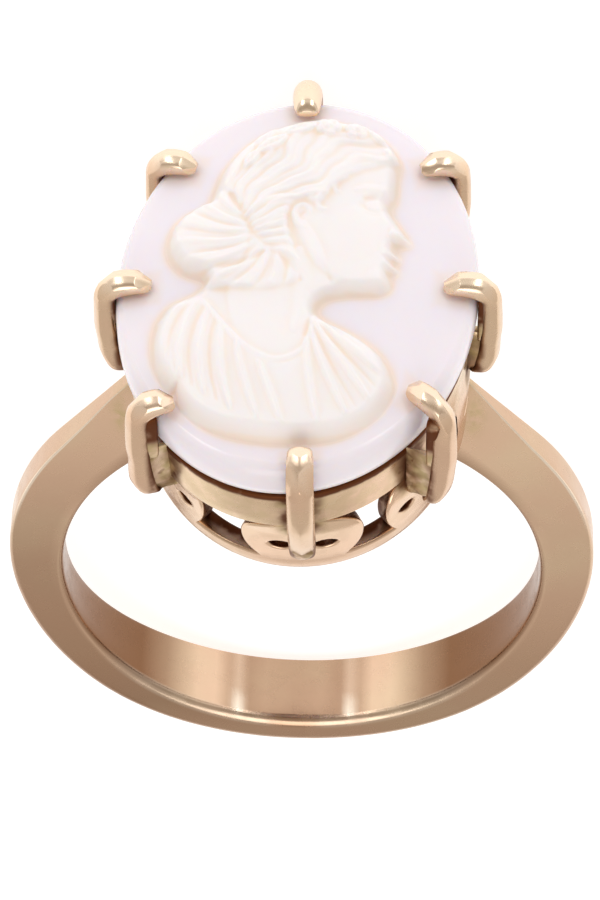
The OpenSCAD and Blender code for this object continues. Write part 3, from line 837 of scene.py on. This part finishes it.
# What the carver cuts on the bust: outlines of its parts, and strokes with their line,
# width and height, raised or sunk
carving = {
    "headPart": [(2.75, -1.1), (1.95, -1.0), (1.15, -0.62), (0.45, 0.05), (0.02, 0.85), (-0.3, 1.7),
                 (-0.6, 2.7), (-0.4, 4.5), (1, 5.6), (3.2, 5.3), (4.4, 3), (4.4, 0), (3.4, -1.3)],
    "hair": [(3.5, 5.25), (2.85, 4.72), (2.35, 4.42), (1.75, 4.12), (1.2, 3.72), (0.8, 3.2), (0.62, 2.72),
             (0.35, 2.55), (0.0, 2.72), (-0.42, 2.5), (-0.58, 1.9), (-0.5, 1.2), (-0.25, 0.4), (-0.05, -0.35),
             (-0.15, -0.85), (-1.2, -1.15), (-2.4, -1.05), (-3.4, -0.95), (-5.2, 0), (-5.2, 3.4), (-3, 7),
             (0, 8), (3, 7.4), (4.2, 6)],
    "knot": [(-2.5, 2.85), (-3.1, 3.2), (-5, 2.8), (-5.4, 0.6), (-4.8, -0.8), (-3.4, -1.3), (-2.2, -1.35),
             (-1.0, -1.3), (0.1, -0.95), (-0.28, -0.3), (-0.8, 0.3), (-1.35, 0.9), (-1.8, 1.55),
             (-2.15, 2.2)],
    "dress": [(-3.9, -1.1), (-3.0, -1.75), (-2.35, -2.7), (-1.55, -3.75), (-0.6, -4.3), (0.15, -4.0),
              (0.45, -3.2), (0.5, -2.5), (0.72, -1.9), (2.3, -2.6), (4.5, -4), (3.5, -8), (-4, -8), (-6, -4),
              (-6, -2)],
    # smooth swellings and hollows of the face: how high, middle, half axes, turn, how round
    "forms": [
        (0.09, (1.3, 1.9), (2.1, 3.6), 0, 0.5),
        (0.04, (1.75, 1.35), (1.1, 1.2), 0, 1),
        (-0.06, (2.28, 2.62), (0.62, 0.42), 0, 1),
        (0.07, (2.36, 2.54), (0.32, 0.2), 0, 0.5),
        (0.06, (3.14, 1.36), (0.26, 0.2), 0, 0.5),
        (0.05, (3.0, 0.58), (0.34, 0.15), 12, 0.5),
        (0.055, (2.98, 0.2), (0.3, 0.15), -8, 0.5),
        (0.05, (2.72, -0.55), (0.6, 0.45), 0, 1),
    ],
    "strokes": [
        # brow, eye and lids
        ([(1.62, 3.2), (2.05, 3.36), (2.6, 3.32), (2.98, 3.2)], 0.26, 0.05),
        ([(1.9, 2.86), (2.3, 2.98), (2.75, 2.86)], 0.22, -0.05),
        ([(2.0, 2.58), (2.25, 2.74), (2.52, 2.7), (2.68, 2.55)], 0.075, 0.05),
        ([(2.05, 2.5), (2.3, 2.38), (2.6, 2.42)], 0.07, 0.03),
        ([(1.9, 2.25), (2.3, 2.12), (2.65, 2.2)], 0.12, -0.02),
        # nose, mouth and chin
        ([(2.98, 1.78), (2.84, 1.52), (2.9, 1.26), (3.06, 1.14)], 0.085, -0.055),
        ([(3.16, 1.22), (3.32, 1.2), (3.44, 1.24)], 0.06, -0.035),
        ([(2.8, 1.3), (2.58, 0.95), (2.5, 0.55)], 0.12, -0.022),
        ([(2.62, 0.42), (2.86, 0.4), (3.18, 0.4)], 0.06, -0.06),
        ([(2.75, -0.12), (2.95, -0.18)], 0.12, -0.03),
        # ear
        ([(0.18, 2.0), (0.14, 2.3), (-0.04, 2.44), (-0.26, 2.34), (-0.36, 2.02), (-0.28, 1.68), (-0.12, 1.44),
          (0.05, 1.36)], 0.11, 0.075),
        ([(0.02, 2.15), (-0.12, 1.95), (-0.05, 1.7)], 0.1, -0.05),
        # neck
        ([(-0.1, 0.6), (0.05, -0.6), (0.1, -1.8), (-0.1, -3.0)], 0.42, 0.05),
        ([(0.95, -1.1), (0.62, -1.7), (0.4, -2.5), (0.25, -3.2)], 0.2, -0.05),
        # groove between the crown hair and the knot, down to the neck
        ([(-2.6, 2.95), (-2.2, 2.3), (-1.85, 1.65), (-1.38, 1.0), (-0.82, 0.36), (-0.3, -0.28), (0.06, -0.9)],
         0.32, -0.06),
        # locks drawn back over the ear into the knot
        ([(-0.35, 2.75), (-1.0, 2.7), (-1.6, 2.3), (-2.0, 1.85)], 0.2, 0.06),
        ([(-0.6, 1.9), (-0.95, 1.75), (-1.35, 1.4)], 0.18, 0.05),
        # the knot's lower turn, over the hair at the nape
        ([(-4.3, 0.1), (-3.6, -0.3), (-2.8, -0.35), (-1.9, -0.05), (-1.2, 0.4)], 0.24, -0.08),
        # folds of the drape in front
        ([(0.78, -2.1), (1.35, -2.62), (2.1, -3.05), (2.75, -3.6)], 0.2, 0.1),
        ([(0.66, -2.3), (1.3, -3.05), (2.1, -3.75), (2.95, -4.5)], 0.21, 0.11),
        ([(0.56, -2.5), (1.05, -3.4), (1.75, -4.4), (2.5, -5.5)], 0.2, 0.1),
        ([(0.46, -2.8), (0.75, -3.8), (1.2, -4.9), (1.75, -6.1)], 0.19, 0.1),
        ([(0.34, -3.3), (0.42, -4.3), (0.6, -5.4), (0.85, -6.5)], 0.19, 0.08),
        ([(0.72, -2.22), (1.35, -2.85), (2.1, -3.4), (2.9, -4.05)], 0.09, -0.05),
        ([(0.6, -2.45), (1.15, -3.25), (1.9, -4.1), (2.75, -5.05)], 0.09, -0.06),
        ([(0.5, -2.7), (0.9, -3.65), (1.45, -4.7), (2.1, -5.85)], 0.09, -0.05),
        # folds over the shoulder behind
        ([(-3.75, -1.45), (-4.2, -2.1), (-4.5, -3.0), (-4.5, -4.0)], 0.22, 0.08),
        ([(-3.35, -1.6), (-3.7, -2.5), (-3.85, -3.6), (-3.7, -4.9)], 0.2, 0.1),
        ([(-2.95, -1.95), (-3.15, -2.9), (-3.15, -4.1), (-2.9, -5.5)], 0.2, 0.09),
        ([(-2.5, -2.6), (-2.5, -3.6), (-2.35, -4.8), (-2.0, -6.1)], 0.2, 0.1),
        ([(-1.95, -3.4), (-1.8, -4.3), (-1.5, -5.3), (-1.1, -6.4)], 0.2, 0.08),
        ([(-1.2, -4.2), (-0.95, -4.9), (-0.6, -5.8), (-0.3, -6.6)], 0.2, 0.08),
        ([(-3.6, -1.55), (-4.0, -2.4), (-4.2, -3.4), (-4.15, -4.5)], 0.09, -0.05),
        ([(-3.15, -1.8), (-3.42, -2.8), (-3.5, -3.9), (-3.3, -5.2)], 0.09, -0.05),
        ([(-2.7, -2.3), (-2.82, -3.3), (-2.75, -4.5), (-2.45, -5.8)], 0.09, -0.06),
        # the turned edge of the dress
        ([(-3.2, -1.55), (-2.6, -2.45), (-1.8, -3.5), (-0.75, -4.15), (0.1, -3.85), (0.42, -3.1), (0.5, -2.4),
          (0.72, -1.95)], 0.17, 0.06),
        # curls at the temple and before the ear
        ([(0.75, 3.0), (0.5, 2.82), (0.42, 2.5), (0.55, 2.25), (0.72, 2.3)], 0.12, 0.07),
        ([(1.4, 3.8), (1.05, 3.55), (0.95, 3.2), (1.12, 3.02)], 0.12, 0.06),
    ],
    # middle, half axes and turn of each leaf, and middle, radius and turn of each flower
    "leaves": [((-1.25, 5.2), (0.85, 0.36), 38), ((-0.35, 5.95), (0.75, 0.32), 24),
               ((2.35, 5.75), (0.62, 0.3), -48), ((-1.9, 4.5), (0.6, 0.28), 62)],
    "flowers": [((0.62, 6.12), 0.52, 10), ((1.6, 6.02), 0.5, 50), ((2.85, 5.05), 0.36, 30)],
}


def waves(p):
    # Combed hair: strands that run from the brow back to the knot, in shallow waves
    d = p - np.array((-2.6, 1.1))
    r, around = np.hypot(*d.T), np.arctan2(d[:, 1], d[:, 0])
    swung = around + 0.06 * np.sin(1.9 * r + 0.8) + 0.014 * np.sin(5.3 * r)
    broad = np.sin(2.15 * r - 2.6 * around + 0.7)
    strands = np.cos(29 * swung + 0.6 * np.sin(3 * around))
    return 0.034 * broad + 0.034 * strands + 0.018 * np.cos(71 * swung + 2 * r)


def knotStrands(p):
    d = p - np.array((-1.05, 1.35))
    r, around = np.hypot(*d.T), np.arctan2(d[:, 1], -d[:, 0])
    swung = around + 0.13 * np.sin(1.5 * r)
    return (0.04 * np.cos(19 * swung) + 0.016 * np.cos(47 * swung + r)) * smooth((r - 0.5) / 1.0)


def reliefHeight(p):
    # The height of the relief over the ground, and how far inside its outline each point is
    y = p[:, 1]
    whole = signedDistance(p, cameo["outline"])
    wall = smooth(whole / 0.5) ** 0.8
    bust = 0.36 + 0.2 * np.sqrt(lump(p, (-0.9, -4.2), (4.6, 3.9)))
    neck = 0.3 + 0.13 * np.sqrt(lump(p, (-0.7, -1.2), (1.7, 3.6), 6))
    head = 0.12 * softStep(p, carving["headPart"], 0.34)
    for rise, middle, halves, turn, power in carving["forms"]:
        head = head + rise * lump(p, middle, halves, turn) ** power
    chest = smooth((-1.2 - y) / 2.6)
    height = neck + head + (bust - neck) * chest
    dress = softStep(p, carving["dress"], 0.22) * (y < -0.9)
    height = height + 0.05 * dress
    hair = softStep(p, carving["hair"], 0.22)
    knot = softStep(p, carving["knot"], 0.3)
    crown = 0.52 + 0.1 * np.sqrt(lump(p, (-0.2, 3.6), (3.6, 3.6))) + waves(p)
    bun = 0.5 + 0.16 * np.sqrt(lump(p, (-3.3, 1.05), (1.5, 2.1))) + knotStrands(p)
    hairTop = crown + (bun - crown) * knot
    height = height + (hairTop - height) * hair
    for line, width, rise in carving["strokes"]:
        height = height + rise * ridge(p, line, width)
    ornaments = [leaf(p, *l) for l in carving["leaves"]] + [flower(p, *f) for f in carving["flowers"]]
    for ornament in ornaments:
        height = joined(height, 0.55 * smooth(ornament * 6) + 0.17 * ornament, 0.03)
    return height * wall, whole


def blurred(grid, cells):
    # The mean over a square of cells about each point
    padded = np.pad(grid, cells, mode="edge")
    sums = np.pad(padded.cumsum(0).cumsum(1), ((1, 0), (1, 0)))
    n = 2 * cells + 1
    return (sums[n:, n:] - sums[:-n, n:] - sums[n:, :-n] + sums[:-n, :-n]) / n**2


def clearOfClaws(p):
    # How far each point of the face is from the nearest claw that reaches over it
    clear = np.full(len(p), 9.0)
    for claw in claws["set"]:
        aim, foot = math.radians(claw.aim), clawPlace(claw).translation
        dx, dy = p[:, 0] - foot.x, p[:, 1] - foot.y
        out = dx * math.cos(aim) + dy * math.sin(aim)
        across = dy * math.cos(aim) - dx * math.sin(aim) - math.tan(math.radians(claw.swing)) * (0.8 - out)
        clear = np.minimum(clear, np.maximum(np.abs(across) - 0.44, -1.12 * claw.reach - 0.03 - out))
    return clear


def hollowShade(surface, whole, free):
    # Painted shade: where the relief is sunk, and round its outline, the shell is painted warmer
    small = np.clip((blurred(surface, 4) - surface) / 0.035, 0, 1)
    large = np.clip((blurred(surface, 9) - surface) / 0.09, 0, 1)
    outline = 0.45 * smooth(whole / 0.2 + 0.6) * smooth((0.42 - whole) / 0.3) * free
    return np.maximum((small * 0.6 + large * 0.7) * 0.85, outline.reshape(surface.shape)).ravel()


def makeCameo(material):
    bm = bmesh.new()
    across, along = cameo["grid"]
    bmesh.ops.create_grid(bm, x_segments=across, y_segments=along, size=1)
    u, v = np.array([corner.co[:2] for corner in bm.verts]).T
    flat = np.stack([u * np.sqrt(1 - v**2 / 2), v * np.sqrt(1 - u**2 / 2)], axis=1) * cameo["faceShare"]
    p = seated(flat * stone["halfAxes"])
    height, whole = reliefHeight(p)
    rows = len(np.unique(np.round(v, 6)))
    height = blurred(height.reshape(rows, -1), 1).ravel()
    clear = clearOfClaws(p)
    free = smooth(clear / 0.24)
    dome = cameo["dome"] * (1 - np.hypot(*flat.T) ** 2)
    z = stone["seat"] + stone["edgeHeight"] + dome + height * free
    for corner, (x, y), top in zip(bm.verts, p, z):
        corner.co = (x, y, top)
    # the rounded edge, the side and the underside
    moved = np.array(cameo["moved"])
    rim = [e for e in bm.edges if e.is_boundary]
    shareNow = cameo["faceShare"]
    for nextShare, nextHeight in cameo["edge"]:
        grown = bmesh.ops.extrude_edge_only(bm, edges=rim)["geom"]
        for corner in (g for g in grown if isinstance(g, bmesh.types.BMVert)):
            x, y = moved + (np.array(corner.co.xy) - moved) * nextShare / shareNow
            corner.co = (x, y, stone["seat"] + nextHeight)
        rim = [g for g in grown if isinstance(g, bmesh.types.BMEdge) and g.is_boundary]
        shareNow = nextShare
    bmesh.ops.contextual_create(bm, geom=rim)
    raised, hollow = addLayers(bm, "raised", "hollow")
    bm.verts.ensure_lookup_table()
    lifted = smooth(whole / 0.3 + 0.5) * free
    # painted shade in the hollows and round the outline
    sunk = hollowShade((height * free).reshape(rows, -1), whole, free)
    # painted reflection of the gold claws on the shell beside them
    goldGlow = 0.55 * smooth((0.5 - clear) / 0.45)  # the claws' warm light beside them
    sunk = np.clip(np.maximum(sunk, goldGlow), 0, 1)
    for corner, high, low in zip(list(bm.verts)[:len(p)], lifted, sunk):
        corner[raised], corner[hollow] = float(high), float(low)
    makePiece(bm, "carvedCameo", material, "cameo", onBand, 60)


shellLook = {
    "ground": (0.88, 0.84, 0.935),
    "carving": (0.945, 0.905, 0.925),
    "layers": (0.92, 0.88, 0.88),
    # warm painted shade in the hollows and painted reflection of the gold
    "hollows": (0.92, 0.72, 0.52),
}


def shellMaterial():
    s = Shader("carvedShell")
    layers = s.cloud(160, 3, 0.5, s.stretched((1, 1, 2.5))).between(0.35, 0.7)
    colour = s.mix(s.mask("raised"), shellLook["ground"], shellLook["carving"])
    colour = s.mix(layers * 0.2, colour, shellLook["layers"])
    # painted shade and painted reflection, warm
    colour = s.mix(s.mask("hollow") * 0.5, colour, shellLook["hollows"])
    rough = s.mask("raised") * 0.14 + 0.22
    bumps = s.node("Bump", None, {"Strength": 0.15, "Distance": 0.00001, "Height": s.cloud(1800, 3)})
    return s.surface(Base_Color=colour, Roughness=rough, Normal=bumps, Subsurface_Weight=0.5,
                     Subsurface_Radius=(1.0, 0.7, 0.5), Subsurface_Scale=0.0009, IOR=1.53)


# The camera stands where the photograph was taken from. Angles and place are set on the
# upright ring, in degrees and millimetres.
shot = {"turn": 2.758, "height": 52.772, "roll": -1.545, "distance": 160, "right": -0.0694, "up": 3.8739,
        "lens": 176.87, "sensor": 36}


def makeCamera():
    turn, height, roll = (math.radians(shot[k]) for k in ("turn", "height", "roll"))
    back = Vector((math.sin(turn) * math.cos(height), -math.cos(turn) * math.cos(height), math.sin(height)))
    right = Vector((math.cos(turn), math.sin(turn), 0))
    up = back.cross(right)
    right, up = right * math.cos(roll) + up * math.sin(roll), up * math.cos(roll) - right * math.sin(roll)
    place = back * shot["distance"] + right * shot["right"] + up * shot["up"]
    camera = bpy.data.objects.new("camera", bpy.data.cameras.new("camera"))
    bpy.context.scene.collection.objects.link(camera)
    camera.data.lens = shot["lens"]
    camera.data.sensor_width = shot["sensor"]
    axes = Matrix((right, up, back)).transposed().to_4x4()
    camera.matrix_world = Matrix.Translation(toRow @ place) @ ringAxes @ axes
    camera.data.clip_start, camera.data.clip_end = 0.01, 5
    bpy.context.scene.camera = camera


# Lamps in the row's own directions, in millimetres from the ring's middle: the floor is below
lamps = {
    "above": {"from": (0, 30, 190), "size": (160, 160), "power": 0.12},
    "frontLeft": {"from": (66, -130, 30), "size": (30, 60), "power": 0.02},
    "frontRight": {"from": (-66, -130, 30), "size": (30, 60), "power": 0.02},
}
# The studio's brightness by height, from the horizon, 0, to straight up, 1, on the side
# that the stone faces and on the side behind it
studio = {
    "front": [(0, 0.62), (0.3, 0.85), (0.45, 0.5), (0.6, 0.4), (0.85, 0.45), (1, 0.7)],
    "behind": [(0, 0.72), (0.3, 0.75), (0.55, 0.8), (0.75, 0.68), (0.88, 0.5), (1, 0.7)],
    "table": 0.69,
}


def makeLamps(centre):
    for name, lamp in lamps.items():
        data = bpy.data.lights.new(name, "AREA")
        data.shape = "RECTANGLE"
        data.size, data.size_y = (s * 0.001 for s in lamp["size"])
        data.energy = lamp["power"]
        light = bpy.data.objects.new(name, data)
        bpy.context.scene.collection.objects.link(light)
        away = Vector(lamp["from"]) * 0.001
        facing = away.to_track_quat("Z", "Y").to_matrix().to_4x4()
        light.matrix_world = Matrix.Translation(centre + away) @ facing


def makeStudio():
    world = bpy.data.worlds.new("studio")
    s = Shader("studio", world)
    direction = s.node("TexCoord", output="Generated")
    height = s.node("SeparateXYZ", None, {0: direction}, output="Z")
    behind = s.node("SeparateXYZ", None, {0: direction}, output="Y").between(-0.3, 0.3)
    sides = []
    for name in ("front", "behind"):
        side = s.node("ValToRGB", None, {"Fac": height})
        ramp = side.socket.node.color_ramp
        ramp.interpolation = "EASE"
        ramp.elements.remove(ramp.elements[1])
        for level, shade in studio[name]:
            stop = ramp.elements[0] if level == 0 else ramp.elements.new(level)
            # the darker it is, the warmer
            stop.color = (shade, shade * (0.8 + 0.2 * shade), shade * (0.6 + 0.4 * shade), 1)
        ramp.elements[0].position = 0
        sides.append(side)
    sky = s.node("Background", None, {"Color": s.mix(behind, *sides)})
    s.node("OutputWorld", None, {"Surface": sky})
    bpy.context.scene.world = world


def makeFloor():
    bm = bmesh.new()
    bmesh.ops.create_grid(bm, x_segments=1, y_segments=1, size=1.5)
    mesh = bpy.data.meshes.new("floor")
    bm.to_mesh(mesh)
    bm.free()
    s = Shader("paleFloor")
    mesh.materials.append(s.surface(Base_Color=(0.6, 0.6, 0.6), Roughness=0.9, Specular_IOR_Level=0.1,
                                    Emission_Color=(1, 1, 1, 1), Emission_Strength=studio["table"]))
    floor = bpy.data.objects.new("floor", mesh)
    bpy.context.scene.collection.objects.link(floor)


gold = goldMaterial()
makeBand(gold)
makeGallery(gold)
makeClaws(gold)
makeSolder(gold)
makeCameo(shellMaterial())
print("pieces made")

makeCamera()
makeLamps(sum(cadBox, Vector()) / 2)
makeStudio()
makeFloor()
bpy.context.scene.view_settings.view_transform = "Standard"
print("camera, light and floor set")
